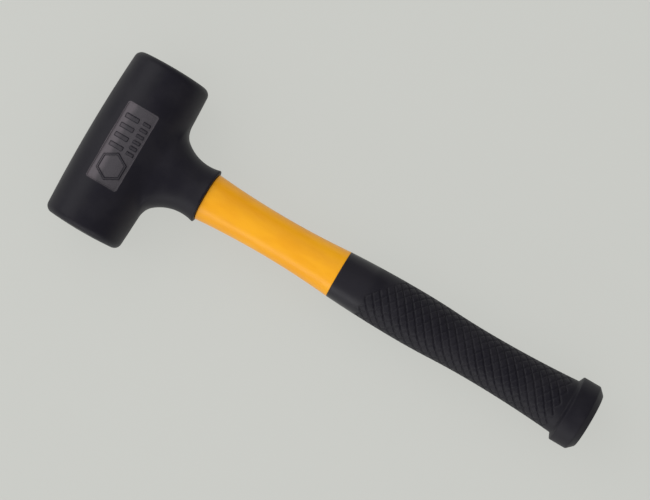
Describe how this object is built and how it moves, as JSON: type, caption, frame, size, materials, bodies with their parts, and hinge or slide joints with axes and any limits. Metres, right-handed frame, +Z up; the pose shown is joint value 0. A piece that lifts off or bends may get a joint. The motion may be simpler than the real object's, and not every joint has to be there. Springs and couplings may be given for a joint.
{
  "type": "dead-blow mallet",
  "caption": "Rubber-covered mallet with a barrel head and flared neck moulded in one, a hidden shot canister, a waisted yellow handle and a textured rubber grip.",
  "frame": {"origin": "under the middle of the whole mallet as it lies on its side, level with the lowest line of the head", "axes": "+X along the handle from the head to the butt, Y along the striking axis, +Z up through the side of the head"},
  "size_m": [0.338, 0.11, 0.0513],
  "materials": {
    "head_rubber": "satin black moulded rubber",
    "canister_steel": "drawn steel tube",
    "plug_steel": "turned steel",
    "weld_metal": "as welded",
    "shot_steel": "tumbled steel balls",
    "pin_steel": "black spring steel",
    "bond_epoxy": "cured adhesive",
    "core_fibreglass": "pultruded fibreglass",
    "jacket_plastic": "semi-gloss yellow moulded plastic",
    "grip_rubber": "matt black moulded rubber"
  },
  "bodies": {
    "mallet": {"head_cover": "head_rubber", "canister_tube": "canister_steel", "canister_cap_left": "plug_steel", "canister_cap_right": "plug_steel", "canister_weld_left": "weld_metal", "canister_weld_right": "weld_metal", "socket_tube": "canister_steel", "socket_weld": "weld_metal", "socket_pin_inner": "pin_steel", "socket_pin_outer": "pin_steel", "core_bond": "bond_epoxy", "handle_core": "core_fibreglass", "handle_jacket": "jacket_plastic", "grip": "grip_rubber"},
    "shot_charge": {"steel_shot": "shot_steel"}
  },
  "joints": [
    {"name": "shot_slide", "type": "slide", "parent": "mallet", "child": "shot_charge", "axis": [0, 1, 0], "range_m": [-0.01, 0.01]}
  ]
}
